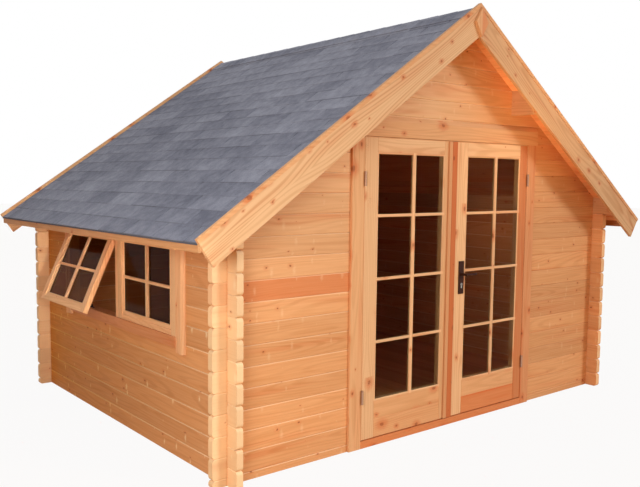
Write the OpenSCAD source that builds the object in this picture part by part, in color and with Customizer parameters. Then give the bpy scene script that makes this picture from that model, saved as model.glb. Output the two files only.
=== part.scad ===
// Log cabin with a double glazed door, a twin top-hung window and a shingled gable roof.
// Millimetres, +Z up, origin on the ground under the middle of the cabin, front gable towards -Y.

/* [Logs] */
// Height of one log course
course = 114; // [108:1:118]
// Thickness of a wall log
log_t = 40; // [34:1:46]
// Length of a log end past the crossing wall
log_end = 90; // [70:1:110]
// Height of the part log at the foot of the gable walls
first_log = 42; // [36:1:48]
// Bevel along the edges of each log
groove = 4; // [2:0.5:6]
// Radius of the rounded corners of the log ends
end_cut = 20; // [10:1:24]
// Working gap between pieces that rest on each other
seat = 0.3; // [0.2:0.1:0.5]

/* [Walls] */
// Width over the side walls
wall_w = 3420; // [3300:10:3540]
// Depth over the gable walls
wall_d = 2570; // [2450:10:2690]
// Full courses in a side wall below the wall plate
side_courses = 11; // [11:1:12]
// Height of the wall plate at its outer face
plate_h = 98; // [85:1:105]

/* [Roof] */
// Roof pitch in degrees
pitch = 34.3; // [33:0.1:36]
// Roof overhang in front of the gable walls
overhang = 190; // [170:5:220]
// Distance from the side wall to the tip of the bargeboard
eave_reach = 290; // [265:5:305]
// Width of a bargeboard with its capping strip
barge_w = 165; // [150:1:180]
// Thickness of a bargeboard
barge_t = 20; // [16:1:24]
// Width of the capping strip
capping_w = 22; // [18:1:24]
// How far the capping strip stands proud of the bargeboard
capping_proud = 3; // [2:0.5:4]
// Height of the bargeboard over the shingles, square to the roof
barge_rise = 24; // [22:1:28]
// Thickness of the shingle covering
shingle_t = 6; // [4:0.5:8]
// Thickness of the roof boards
deck_t = 19; // [16:1:24]
// Height of the eave fascia
fascia_h = 40; // [32:1:48]
// Thickness of the eave fascia
fascia_t = 18; // [14:1:22]
// Width of one side of the ridge cap
ridge_cap_w = 130; // [100:5:160]
// Thickness of the ridge cap
ridge_cap_t = 5; // [3:0.5:6]
// Clear height between the door's lintel board and the side purlins
purlin_clear = 75; // [60:1:90]
// Thickness of a purlin
purlin_t = 45; // [36:1:60]
// Height of a side purlin
purlin_h = 165; // [150:1:180]
// Height of the ridge purlin
ridge_h = 140; // [120:1:160]
// Height of the diamond apex plate
apex_h = 176; // [160:2:200]
// Width of the diamond apex plate
apex_w = 112; // [100:2:130]
// Thickness of the diamond apex plate
apex_t = 18; // [12:1:22]

/* [Floor] */
// Thickness of the floor boards
floor_t = 19; // [16:1:21]
// Height of a floor bearer
bearer_h = 22; // [20:1:24]
// Width of a floor bearer
bearer_w = 70; // [50:2:90]
// Number of floor bearers
bearers = 5; // [3:2:7]

/* [Door] */
// Width of the doorway between the log ends
door_w = 1650; // [1600:5:1700]
// Courses that the doorway cuts through
door_courses = 16; // [16:1:16]
// Width of a door jamb
jamb_w = 44; // [38:1:50]
// How far the frame stands out in front of the wall
frame_proud = 15; // [12:1:18]
// How far the frame stands in behind the wall
frame_inner = 15; // [10:1:20]
// Thickness of the door head
head_t = 15; // [12:1:20]
// Height of the threshold
sill_h = 44; // [43:1:50]
// Thickness of a door leaf
leaf_t = 40; // [34:1:42]
// Running gap around a door leaf
leaf_gap = 6; // [5.5:0.5:7]
// Gap between the two leaves
meet_gap = 8; // [7:0.5:10]
// Offset of the meeting gap from the middle
meet_x = 28; // [20:1:36]
// Width of the left leaf's outer stile
stile_l = 113; // [100:1:122]
// Width of the right leaf's outer stile
stile_r = 88; // [78:1:98]
// Width of the left leaf's meeting stile
meet_stile_l = 121; // [114:1:132]
// Width of the right leaf's meeting stile
meet_stile_r = 111; // [102:1:118]
// Height of a leaf's top rail
top_rail = 95; // [82:1:108]
// Height of a leaf's bottom panel
bottom_panel = 235; // [210:5:260]
// Thickness of the glass
glass_t = 4; // [3:0.5:6]
// Depth of the door glass behind the face of a leaf
glass_in = 6; // [4:0.5:12]
// Width of the meeting strip
strip_w = 78; // [66:1:88]
// Thickness of the meeting strip
strip_t = 10; // [6:1:12]
// Width of a cover strip beside the door
cover_w = 48; // [42:1:56]
// Height of the lintel board
lintel_h = 120; // [108:1:128]
// Thickness of the lintel board
lintel_t = 18; // [14:1:22]
// Bevel along the top of the lintel board
lintel_bevel = 27; // [18:1:32]
// Thickness of a door stop
stop_t = 16; // [12:1:20]
// How far a door stop reaches over the leaf
stop_w = 16; // [10:1:20]

/* [Door fittings] */
// Length of a hinge
hinge_h = 84; // [74:2:96]
// Radius of a hinge knuckle
knuckle_r = 7; // [6:0.5:7]
// Radius of a hinge pin
pin_r = 4; // [3:0.25:4.5]
// Height of the upper hinges
hinge_hi = 1605; // [1560:5:1650]
// Height of the lower hinges
hinge_lo = 314; // [280:2:340]
// Reach of a hinge flap between a leaf and the frame
flap_w = 34; // [28:1:36]
// Thickness of a hinge flap
flap_t = 2.2; // [1.6:0.1:2.6]
// Height of the handle plate
plate_len = 215; // [190:5:230]
// Width of the handle plate
plate_w = 48; // [40:2:52]
// Thickness of the handle plate
plate_t = 6; // [4:0.5:8]
// Height of the lever
lever_z = 990; // [960:2:1010]
// Height of the plate's middle below the lever
plate_drop = 22; // [10:2:40]
// Distance of the lever from the leaf's edge
lever_set = 64; // [56:1:68]
// Radius of the lever's neck
neck_r = 9; // [8:0.5:11]
// Distance of the lever bar from the plate
lever_out = 42; // [34:1:50]
// Length of the lever bar
lever_len = 115; // [100:5:130]
// Radius of the lever bar
lever_r = 8; // [7:0.5:9]
// Running gap around the lever's neck and the hinge pins
neck_gap = 0.1; // [0.05:0.01:0.1]

/* [Window] */
// Width of the window opening
window_w = 1628; // [1580:4:1680]
// Height of the sill's underside
window_z = 640; // [625:1:655]
// Height of the window opening
window_h = 655; // [640:1:670]
// Height of the sill
window_sill_h = 63; // [55:1:70]
// How far the sill stands out in front of the frame
sill_proud = 5; // [3:1:10]
// Width of the frame at the sides and the top
frame_w = 42; // [36:1:48]
// Width of the mullion
mullion_w = 30; // [24:1:40]
// Gap beside and over a sash
sash_gap = 2; // [1:0.5:3]
// Thickness of a sash
sash_t = 34; // [28:1:40]
// Width of a sash's stiles
sash_stile = 76; // [66:1:84]
// Height of a sash's rails
sash_rail = 57; // [48:1:64]
// Opening angle of the left sash in degrees
sash_open = 24; // [16:1:28]
// Radius of the half-round cover strips
round_r = 24; // [20:1:28]
// How far the cover strips run past the opening
round_over = 26; // [15:1:30]
// Length of the casement stay
stay_len = 100; // [80:5:120]
// Width of the casement stay
stay_w = 10; // [8:1:14]

/* [Hidden] */
$fn = 48;
// Facets of a rounded log end
end_steps = 4;
// Front face and left face of the walls
yf = -wall_d / 2;
xl = -wall_w / 2;
// Inner faces
xi = wall_w / 2 - log_t;
yi = wall_d / 2 - log_t;
// Side walls stand half a course higher than the gable walls
first_side = first_log + course / 2;
plate_z = first_side + side_courses * course;
// Roof lines, measured square down from the top of the bargeboards
slope = tan(pitch);
cosp = cos(pitch);
sinp = sin(pitch);
d_cover = barge_rise + shingle_t;
d_deck = d_cover + seat + deck_t;
d_wall = d_deck + seat;
roof_half = wall_w / 2 + eave_reach;
apex_z = plate_z + plate_h + slope * wall_w / 2 + d_wall / cosp;
function roof_z(x, d) = apex_z - slope * abs(x) - d / cosp;
cover_x = roof_half - 12;
fascia_x = cover_x - 6;
deck_x = fascia_x - fascia_t - seat;
roof_y = wall_d / 2 + overhang - barge_t - seat;
tip_z = roof_z(roof_half, 0);
gable_n = floor((roof_z(0, d_wall) - first_log - 15) / course) + 1;
ridge_z = roof_z(0, d_wall) - ridge_h;
// Door lines
door_top = first_log + door_courses * course;
leaf_top = door_top - head_t - leaf_gap;
leaf_bot = sill_h + leaf_gap;
leaf_x = door_w / 2 - jamb_w - leaf_gap;
leaf_y = yf - frame_proud + 2;
frame_y0 = yf - frame_proud;
frame_y1 = yf + log_t + frame_inner;
left_x1 = meet_x - meet_gap / 2;
right_x0 = meet_x + meet_gap / 2;
glass_z0 = leaf_bot + bottom_panel;
glass_z1 = leaf_top - top_rail;
lg_x0 = -leaf_x + stile_l;
lg_x1 = left_x1 - meet_stile_l;
rg_x0 = right_x0 + meet_stile_r;
rg_x1 = leaf_x - stile_r;
hinge_x = leaf_x + leaf_gap / 2;
hinge_y = frame_y0 - knuckle_r - 1;
lever_x = right_x0 + lever_set;
// Side purlins
purlin_z = door_top - head_t + lintel_h + purlin_clear;
purlin_x = (roof_z(0, d_wall) - purlin_z - purlin_h) / slope;
// Window lines
win_top = window_z + window_h;
sash_z0 = window_z + window_sill_h + seat;
sash_z1 = win_top - frame_w - sash_gap;
sash_y0 = mullion_w / 2 + sash_gap;
sash_y1 = window_w / 2 - frame_w - sash_gap;
win_x0 = xl - frame_proud;
win_x1 = xl + log_t + frame_inner;

// Box between two corners
module block(a, b) {
    translate(a)
        cube([b[0] - a[0], b[1] - a[1], b[2] - a[2]]);
}

// Prism along X with a profile in Y and Z
module bar_x(x0, x1, pts) {
    translate([x0, 0, 0])
        rotate([90, 0, 90])
            linear_extrude(height = x1 - x0)
                polygon(pts);
}

// Prism along Y with a profile in X and Z
module bar_y(y0, y1, pts) {
    translate([0, y1, 0])
        rotate([90, 0, 0])
            linear_extrude(height = y1 - y0)
                polygon(pts);
}

// Cross-section of a log from its outer face, with bevelled edges except at a foot on the ground
function log_foot(z0, c) = c > 0
    ? [[0, z0 + c], [c, z0], [log_t - c, z0], [log_t, z0 + c]]
    : [[0, z0], [log_t, z0]];
function log_section(z0, z1, foot) = concat(log_foot(z0, foot),
    [[log_t, z1 - groove], [log_t - groove, z1], [groove, z1], [0, z1 - groove]]);

// Quarter circle of radius c round a centre, from angle t0
function quarter(x, z, c, t0) = [for (i = [0 : end_steps])
    [x + c * cos(t0 + 90 * i / end_steps), z + c * sin(t0 + 90 * i / end_steps)]];

// Side view of a log, with the corners of its free ends rounded
function low_end(a, z0, z1, c) = c > 0
    ? concat(quarter(a + c, z1 - c, c, 90), quarter(a + c, z0 + c, c, 180))
    : [[a, z1], [a, z0]];
function high_end(a, z0, z1, c) = c > 0
    ? concat(quarter(a - c, z0 + c, c, -90), quarter(a - c, z1 - c, c, 0))
    : [[a, z0], [a, z1]];
function log_side(a0, a1, z0, z1, c0, c1) = concat(high_end(a1, z0, z1, c1), low_end(a0, z0, z1, c0));

// Foot and head of course k over a part log of height h0
function log_z0(k, h0) = k == 0 ? 0 : h0 + (k - 1) * course + seat / 2;
function log_z1(k, h0) = h0 + k * course - seat / 2;
function cut_of(c, z0, z1) = c > 0 ? min(c, (z1 - z0) / 2 - 2) : 0;

// Space under the roof boards, as a gable
module under_roof(y0, y1) {
    bar_y(y0, y1, [[-roof_half, 0], [roof_half, 0], [roof_half, roof_z(roof_half, d_wall)],
        [0, roof_z(0, d_wall)], [-roof_half, roof_z(roof_half, d_wall)]]);
}

// Space that the purlins take where they pass through a gable
module purlin_holes(y0, y1) {
    for (side = [-1, 1]) {
        block([side * (purlin_x + purlin_t / 2) - purlin_t / 2 - seat, y0, purlin_z - seat],
            [side * (purlin_x + purlin_t / 2) + purlin_t / 2 + seat, y1, apex_z]);
    }
    block([-purlin_t / 2 - seat, y0, ridge_z - seat], [purlin_t / 2 + seat, y1, apex_z]);
}

// Gable-wall log before its notches and its cut along the roof
module plain_gable_log(k, x0, x1, c0, c1, z0, z1) {
    intersection() {
        bar_x(x0, x1, log_section(z0, z1, k == 0 ? 0 : groove));
        bar_y(-1, log_t + 1, log_side(x0, x1, z0, z1, cut_of(c0, z0, z1), cut_of(c1, z0, z1)));
    }
}

// Gable-wall log of course k between x0 and x1, outer face at y = 0, c0 and c1 are end cuts
module gable_log(k, x0, x1, c0, c1) {
    z0 = log_z0(k, first_log);
    z1 = log_z1(k, first_log);
    mid = first_log + (k - 0.5) * course;
    low = roof_z(max(abs(x0), abs(x1)), d_wall) < z1;
    difference() {
        if (low)
            intersection() {
                plain_gable_log(k, x0, x1, c0, c1, z0, z1);
                under_roof(-1, log_t + 1);
            }
        else
            plain_gable_log(k, x0, x1, c0, c1, z0, z1);
        for (side = [-1, 1]) {
            if (x0 < side * xi - log_t && x1 > side * xi + log_t && k <= side_courses + 1) {
                cross = side * (wall_w / 2 - log_t / 2);
                block([cross - log_t / 2 - seat, -1, -1],
                    [cross + log_t / 2 + seat, log_t + 1, mid - course / 4 + seat / 2]);
                block([cross - log_t / 2 - seat, -1, mid + course / 4 - seat / 2],
                    [cross + log_t / 2 + seat, log_t + 1, mid + course]);
            }
        }
        if (z1 > purlin_z) purlin_holes(-1, log_t + 1);
    }
}

// End of a gable-wall log of course k: past the side wall, or against the wall plate
function gable_end(k) = k <= side_courses + 1 ? wall_w / 2 + log_end : xi - seat;
function gable_cut(k) = k <= side_courses + 1 ? end_cut : 0;

// Side-wall log of course k between y0 and y1, outer face at x = 0
module side_log(k, y0, y1, c0, c1) {
    z0 = log_z0(k, first_side);
    z1 = log_z1(k, first_side);
    mid = first_side + (k - 0.5) * course;
    difference() {
        intersection() {
            bar_y(y0, y1, log_section(z0, z1, k == 0 ? 0 : groove));
            bar_x(-1, log_t + 1, log_side(y0, y1, z0, z1, cut_of(c0, z0, z1), cut_of(c1, z0, z1)));
        }
        for (side = [-1, 1]) {
            if (y0 < side * yi - log_t && y1 > side * yi + log_t) {
                cross = side * (wall_d / 2 - log_t / 2);
                block([-1, cross - log_t / 2 - seat, -1],
                    [log_t + 1, cross + log_t / 2 + seat, mid - course / 4 + seat / 2]);
                block([-1, cross - log_t / 2 - seat, mid + course / 4 - seat / 2],
                    [log_t + 1, cross + log_t / 2 + seat, mid + course]);
            }
        }
    }
}

side_end = wall_d / 2 + log_end;

module front_half_logs(side) {
    for (k = [0 : door_courses]) {
        if (side < 0)
            translate([0, yf, 0])
                gable_log(k, -gable_end(k), -door_w / 2 - seat, gable_cut(k), 0);
        else
            translate([0, yf, 0])
                gable_log(k, door_w / 2 + seat, gable_end(k), 0, gable_cut(k));
    }
}

module front_wall_left_logs() {
    color([0.85, 0.62, 0.38])
        front_half_logs(-1);
}

module front_wall_right_logs() {
    color([0.85, 0.62, 0.38])
        front_half_logs(1);
}

module front_gable_logs() {
    color([0.85, 0.62, 0.38])
        for (k = [door_courses + 1 : gable_n])
            translate([0, yf, 0])
                gable_log(k, -gable_end(k), gable_end(k), 0, 0);
}

module back_wall_logs() {
    color([0.85, 0.62, 0.38])
        for (k = [0 : side_courses + 1])
            translate([0, yi, 0])
                gable_log(k, -gable_end(k), gable_end(k), gable_cut(k), gable_cut(k));
}

module back_gable_logs() {
    color([0.85, 0.62, 0.38])
        for (k = [side_courses + 2 : gable_n])
            translate([0, yi, 0])
                gable_log(k, -gable_end(k), gable_end(k), 0, 0);
}

// Courses of the left wall under and over the window
low_n = floor((window_z - first_side) / course) + 1;
high_n = floor((win_top - first_side) / course) + 1;

module window_hole() {
    block([xl - 1, -window_w / 2 - seat, window_z - seat],
        [xl + log_t + 1, window_w / 2 + seat, win_top + seat]);
}

module left_wall_lower_logs() {
    color([0.82, 0.6, 0.34])
        difference() {
            for (k = [0 : low_n])
                translate([xl, 0, 0])
                    side_log(k, -side_end, side_end, end_cut, end_cut);
            window_hole();
        }
}

module left_wall_front_logs() {
    color([0.82, 0.6, 0.34])
        for (k = [low_n + 1 : high_n - 1])
            translate([xl, 0, 0])
                side_log(k, -side_end, -window_w / 2 - seat, end_cut, 0);
}

module left_wall_back_logs() {
    color([0.82, 0.6, 0.34])
        for (k = [low_n + 1 : high_n - 1])
            translate([xl, 0, 0])
                side_log(k, window_w / 2 + seat, side_end, 0, end_cut);
}

module left_wall_head_log() {
    color([0.82, 0.6, 0.34])
        difference() {
            for (k = [high_n : side_courses])
                translate([xl, 0, 0])
                    side_log(k, -side_end, side_end, end_cut, end_cut);
            window_hole();
        }
}

module right_wall_logs() {
    color([0.82, 0.6, 0.34])
        for (k = [0 : side_courses])
            translate([xi, 0, 0])
                side_log(k, -side_end, side_end, end_cut, end_cut);
}

module wall_plates() {
    z0 = plate_z + seat / 2;
    notch = plate_z + course / 4 + seat / 2;
    color([0.84, 0.6, 0.36])
        for (side = [-1, 1])
            scale_x(side)
                difference() {
                    bar_y(-roof_y, roof_y, [[xi + groove, z0], [xi + log_t - groove, z0],
                        [xi + log_t, z0 + groove], [xi + log_t, roof_z(xi + log_t, d_wall)],
                        [xi, roof_z(xi, d_wall)], [xi, z0 + groove]]);
                    for (end = [-1, 1])
                        block([xi - 1, end * (yi + log_t / 2) - log_t / 2 - seat, z0 - 1],
                            [xi + log_t + 1, end * (yi + log_t / 2) + log_t / 2 + seat, notch]);
                }
}

// Mirrored copy for the left side
module scale_x(side) {
    if (side < 0)
        mirror([1, 0, 0])
            children();
    else
        children();
}

module side_purlins() {
    color([0.84, 0.6, 0.36])
        for (side = [-1, 1])
            scale_x(side)
                bar_y(-roof_y, roof_y, [[purlin_x, purlin_z], [purlin_x + purlin_t, purlin_z],
                    [purlin_x + purlin_t, roof_z(purlin_x + purlin_t, d_wall)],
                    [purlin_x, roof_z(purlin_x, d_wall)]]);
}

module ridge_purlin() {
    color([0.84, 0.6, 0.36])
        bar_y(-roof_y, roof_y, [[-purlin_t / 2, ridge_z], [purlin_t / 2, ridge_z],
            [purlin_t / 2, roof_z(purlin_t / 2, d_wall)], [0, roof_z(0, d_wall)],
            [-purlin_t / 2, roof_z(purlin_t / 2, d_wall)]]);
}

// Sloping slab of the right roof side between two depths
module roof_slab(x0, x1, d0, d1) {
    bar_y(-roof_y, roof_y, [[x0, roof_z(x0, d0)], [x0, roof_z(x0, d1)],
        [x1, roof_z(x1, d1)], [x1, roof_z(x1, d0)]]);
}

module left_roof_deck() {
    color([0.8, 0.58, 0.34])
        mirror([1, 0, 0])
            roof_slab(seat / 2, deck_x, d_cover + seat, d_deck);
}

module right_roof_deck() {
    color([0.8, 0.58, 0.34])
        roof_slab(seat / 2, deck_x, d_cover + seat, d_deck);
}

module left_roof_shingles() {
    color([0.35, 0.38, 0.44])
        mirror([1, 0, 0])
            roof_slab(seat / 2, cover_x, barge_rise, d_cover);
}

module right_roof_shingles() {
    color([0.35, 0.38, 0.44])
        roof_slab(seat / 2, cover_x, barge_rise, d_cover);
}

module ridge_cap() {
    d1 = barge_rise - seat;
    d0 = d1 - ridge_cap_t;
    w = ridge_cap_w * cosp;
    color([0.34, 0.37, 0.43])
        bar_y(-roof_y, roof_y, [[-w, roof_z(w, d1)], [0, roof_z(0, d1)], [w, roof_z(w, d1)],
            [w, roof_z(w, d0)], [0, roof_z(0, d0)], [-w, roof_z(w, d0)]]);
}

module eave_fascias() {
    x0 = fascia_x - fascia_t;
    top = d_cover + seat;
    foot = roof_z(fascia_x, top) - fascia_h;
    color([0.78, 0.56, 0.32])
        for (side = [-1, 1])
            scale_x(side)
                bar_y(-roof_y, roof_y, [[x0, foot], [fascia_x, foot],
                    [fascia_x, roof_z(fascia_x, top)], [x0, roof_z(x0, top)]]);
}

// Right-hand board along the roof edge between two depths, with a square-cut tip
module barge(y0, y1, d0, d1) {
    bar_y(y0, y1, [[seat / 2, roof_z(seat / 2, d0)], [seat / 2, roof_z(seat / 2, d1)],
        [roof_half - d1 * sinp, tip_z - d1 * cosp], [roof_half - d0 * sinp, tip_z - d0 * cosp]]);
}

barge_y = wall_d / 2 + overhang;

module front_left_bargeboard() {
    color([0.86, 0.64, 0.4])
        mirror([1, 0, 0])
            barge(-barge_y, -barge_y + barge_t, capping_w + seat, barge_w);
}

module front_right_bargeboard() {
    color([0.86, 0.64, 0.4])
        barge(-barge_y, -barge_y + barge_t, capping_w + seat, barge_w);
}

module rear_left_bargeboard() {
    color([0.86, 0.64, 0.4])
        mirror([1, 0, 0])
            barge(barge_y - barge_t, barge_y, capping_w + seat, barge_w);
}

module rear_right_bargeboard() {
    color([0.86, 0.64, 0.4])
        barge(barge_y - barge_t, barge_y, capping_w + seat, barge_w);
}

module capping_strips() {
    color([0.87, 0.66, 0.42])
        for (side = [-1, 1])
            scale_x(side) {
                barge(-barge_y - capping_proud, -barge_y + barge_t, 0, capping_w);
                barge(barge_y - barge_t, barge_y + capping_proud, 0, capping_w);
            }
}

module apex_plates() {
    top = roof_z(0, capping_w) - 2;
    pts = [[0, top - apex_h], [apex_w / 2, top - apex_h / 2], [0, top], [-apex_w / 2, top - apex_h / 2]];
    color([0.86, 0.64, 0.4]) {
        bar_y(-barge_y - seat - apex_t, -barge_y - seat, pts);
        bar_y(barge_y + seat, barge_y + seat + apex_t, pts);
    }
}

module floor_boards() {
    z0 = bearer_h + seat;
    color([0.72, 0.53, 0.33])
        block([-xi + seat, frame_y1 + seat, z0], [xi - seat, yi - seat, z0 + floor_t]);
}

module floor_bearers() {
    step = (2 * xi - 2 * seat - bearer_w) / (bearers - 1);
    color([0.55, 0.42, 0.28])
        for (i = [0 : bearers - 1])
            translate([-xi + seat + i * step, 0, 0])
                block([0, frame_y1 + seat, 0], [bearer_w, yi - seat, bearer_h]);
}

module door_frame() {
    x0 = door_w / 2 - jamb_w;
    sx = leaf_x - stop_w;
    sy = leaf_y + leaf_t + leaf_gap;
    color([0.86, 0.62, 0.38]) {
        for (side = [-1, 1])
            scale_x(side) {
                block([x0, frame_y0, 0], [door_w / 2, frame_y1, door_top - head_t - seat]);
                block([sx, sy, sill_h + seat], [x0 - seat, sy + stop_t, door_top - head_t - seat]);
            }
        block([-door_w / 2, yf + seat, door_top - head_t], [door_w / 2, frame_y1, door_top - seat]);
        block([-sx + seat, sy, leaf_top - stop_w], [sx - seat, sy + stop_t, door_top - head_t - seat]);
    }
}

module door_threshold() {
    x0 = door_w / 2 - jamb_w - seat;
    color([0.74, 0.5, 0.3])
        block([-x0, frame_y0, 0], [x0, frame_y1, sill_h]);
}

module door_cover_strips() {
    x0 = door_w / 2 + seat;
    color([0.87, 0.64, 0.4])
        for (side = [-1, 1])
            scale_x(side)
                block([x0, frame_y0, 0], [x0 + cover_w, yf - seat, door_top - head_t - seat]);
}

module door_lintel_board() {
    x0 = door_w / 2 + cover_w + 14;
    z0 = door_top - head_t;
    z1 = z0 + lintel_h;
    color([0.86, 0.63, 0.39])
        bar_x(-x0, x0, [[yf - lintel_t, z0], [yf - seat, z0], [yf - seat, z1],
            [yf - seat - 4, z1], [yf - lintel_t, z1 - lintel_bevel]]);
}

// Leaf between x0 and x1 with its glass opening
module leaf(x0, x1, g0, g1) {
    difference() {
        block([x0, leaf_y, leaf_bot], [x1, leaf_y + leaf_t, leaf_top]);
        block([g0, leaf_y - 1, glass_z0], [g1, leaf_y + leaf_t + 1, glass_z1]);
    }
}

// Glass in the middle of a leaf
module leaf_glass(g0, g1) {
    block([g0 + seat, leaf_y + glass_in, glass_z0 + seat],
        [g1 - seat, leaf_y + glass_in + glass_t, glass_z1 - seat]);
}

module left_door_leaf() {
    color([0.86, 0.63, 0.38])
        leaf(-leaf_x, left_x1, lg_x0, lg_x1);
}

module left_door_glass() {
    color([0.3, 0.26, 0.22, 0.4])
        leaf_glass(lg_x0, lg_x1);
}

module meeting_strip() {
    color([0.72, 0.42, 0.24])
        block([left_x1 - strip_w, leaf_y - seat - strip_t, leaf_bot], [left_x1, leaf_y - seat, leaf_top]);
}

module right_door_leaf() {
    color([0.86, 0.63, 0.38])
        leaf(right_x0, leaf_x, rg_x0, rg_x1);
}

module right_door_glass() {
    color([0.3, 0.26, 0.22, 0.4])
        leaf_glass(rg_x0, rg_x1);
}

// Hinge half on the right-hand side: a knuckle with a flap in the gap beside the leaf
module hinge_half(z0, z1, fx) {
    translate([hinge_x, hinge_y, z0])
        cylinder(r = knuckle_r, h = z1 - z0);
    block([fx, hinge_y, z0], [fx + flap_t, leaf_y + flap_w, z1]);
}

// Pin or pin hole of a hinge, standing in its upper half
module hinge_pin(z, r, h) {
    translate([hinge_x, hinge_y, z - hinge_h / 4])
        cylinder(r = r, h = h + hinge_h / 4);
}

module frame_hinges() {
    color([0.55, 0.55, 0.55])
        for (side = [-1, 1], z = [hinge_lo, hinge_hi])
            scale_x(side) {
                hinge_half(z - hinge_h / 2, z - seat / 2, leaf_x + leaf_gap - seat - flap_t);
                hinge_pin(z, pin_r, hinge_h / 3);
            }
}

module leaf_hinges() {
    for (z = [hinge_lo, hinge_hi])
        difference() {
            hinge_half(z + seat / 2, z + hinge_h / 2, leaf_x + seat);
            hinge_pin(z, pin_r + neck_gap, hinge_h / 3 + 1);
        }
}

module left_leaf_hinges() {
    color([0.55, 0.55, 0.55])
        mirror([1, 0, 0])
            leaf_hinges();
}

module right_leaf_hinges() {
    color([0.55, 0.55, 0.55])
        leaf_hinges();
}

// Round bar along Y
module rod_y(x, z, r, y0, y1) {
    translate([x, y1, z])
        rotate([90, 0, 0])
            cylinder(r = r, h = y1 - y0);
}

module handle_plate() {
    y1 = leaf_y - seat;
    y0 = y1 - plate_t;
    mid = lever_z - plate_drop;
    half = plate_len / 2;
    color([0.2, 0.15, 0.12])
        difference() {
            block([lever_x - plate_w / 2, y0, mid - half], [lever_x + plate_w / 2, y1, mid + half]);
            rod_y(lever_x, lever_z, neck_r + neck_gap, y0 - 1, y1 + 1);
        }
}

module lever_handle() {
    y1 = leaf_y - 2 * seat;
    y0 = leaf_y - seat - plate_t - lever_out;
    color([0.2, 0.15, 0.12]) {
        rod_y(lever_x, lever_z, neck_r, y0 - lever_r, y1);
        translate([lever_x, y0, lever_z])
            rotate([0, 90, 0])
                cylinder(r = lever_r, h = lever_len);
    }
}

module window_frame() {
    z0 = window_z + window_sill_h + seat;
    half = (sash_y1 - sash_y0) / 2 + sash_gap;
    sill_y = window_w / 2 - frame_w;
    foot = window_z - round_over;
    color([0.84, 0.6, 0.35])
        difference() {
            union() {
                block([win_x0, -window_w / 2, window_z], [win_x1, window_w / 2, win_top]);
                block([win_x0, -window_w / 2, foot], [xl - seat, window_w / 2, window_z + 1]);
            }
            block([win_x0 - 1, -sill_y, foot - 1], [win_x1 + 1, sill_y, z0]);
            for (side = [-1, 1])
                translate([0, side * (sash_y0 + sash_y1) / 2, 0])
                    block([win_x0 - 1, -half, z0 - 1], [win_x1 + 1, half, sash_z1 + sash_gap]);
        }
}

module window_sill() {
    sill_y = window_w / 2 - frame_w - seat;
    color([0.68, 0.4, 0.22])
        block([win_x0 - sill_proud, -sill_y, window_z], [win_x1, sill_y, window_z + window_sill_h]);
}

module window_cover_strips() {
    color([0.84, 0.6, 0.36])
        for (side = [-1, 1])
            difference() {
                translate([xl - seat, side * (window_w / 2 + round_r + 1), window_z - round_over])
                    cylinder(r = round_r, h = window_h + 2 * round_over);
                block([xl - seat, -wall_d, 0], [xl + 2 * round_r, wall_d, apex_z]);
            }
}

// Sash in its closed place, side -1 is the one nearer the front
module sash(side) {
    a = side < 0 ? -sash_y1 : sash_y0;
    b = side < 0 ? -sash_y0 : sash_y1;
    difference() {
        block([win_x0, a, sash_z0], [win_x0 + sash_t, b, sash_z1]);
        block([win_x0 - 1, a + sash_stile, sash_z0 + sash_rail],
            [win_x0 + sash_t + 1, b - sash_stile, sash_z1 - sash_rail]);
    }
}

module sash_glass(side) {
    a = side < 0 ? -sash_y1 : sash_y0;
    b = side < 0 ? -sash_y0 : sash_y1;
    x0 = win_x0 + (sash_t - glass_t) / 2;
    block([x0, a + sash_stile + seat, sash_z0 + sash_rail + seat],
        [x0 + glass_t, b - sash_stile - seat, sash_z1 - sash_rail - seat]);
}

// Swings a sash out about its top edge
module swung() {
    translate([win_x0, 0, sash_z1])
        rotate([0, sash_open, 0])
            translate([-win_x0, 0, -sash_z1])
                children();
}

module left_window_sash() {
    color([0.86, 0.63, 0.38])
        translate([0, 0, sash_gap - seat])
            swung()
                sash(1);
}

module right_window_sash() {
    color([0.86, 0.63, 0.38])
        sash(-1);
}

module window_glass() {
    color([0.3, 0.26, 0.22, 0.4]) {
        sash_glass(-1);
        translate([0, 0, sash_gap - seat])
            swung()
                sash_glass(1);
    }
}

module casement_stay() {
    x0 = xl + 4;
    y0 = sash_y0 + 400;
    z0 = window_z + window_sill_h + seat;
    color([0.08, 0.08, 0.08]) {
        block([x0, y0, z0], [x0 + stay_w, y0 + stay_len, z0 + 6]);
        translate([x0 + stay_w / 2, y0 + stay_len / 3, z0])
            cylinder(r = stay_w / 2, h = 22);
    }
}

front_wall_left_logs();
front_wall_right_logs();
front_gable_logs();
back_wall_logs();
back_gable_logs();
left_wall_lower_logs();
left_wall_front_logs();
left_wall_back_logs();
left_wall_head_log();
right_wall_logs();
wall_plates();
side_purlins();
ridge_purlin();
left_roof_deck();
right_roof_deck();
left_roof_shingles();
right_roof_shingles();
ridge_cap();
eave_fascias();
front_left_bargeboard();
front_right_bargeboard();
rear_left_bargeboard();
rear_right_bargeboard();
capping_strips();
apex_plates();
floor_boards();
floor_bearers();
door_frame();
door_threshold();
door_cover_strips();
door_lintel_board();
left_door_leaf();
left_door_glass();
meeting_strip();
right_door_leaf();
right_door_glass();
frame_hinges();
left_leaf_hinges();
right_leaf_hinges();
handle_plate();
lever_handle();
window_frame();
window_sill();
window_cover_strips();
left_window_sash();
right_window_sash();
window_glass();
casement_stay();
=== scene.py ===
"""Looks of a timber log cabin: pine logs, slate-look shingles, glazed double door and a twin window."""

import math
import random
from functools import partialmethod

import bpy
from bpy.props import FloatProperty, FloatVectorProperty, IntProperty, PointerProperty
from mathutils import Matrix, Vector


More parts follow.
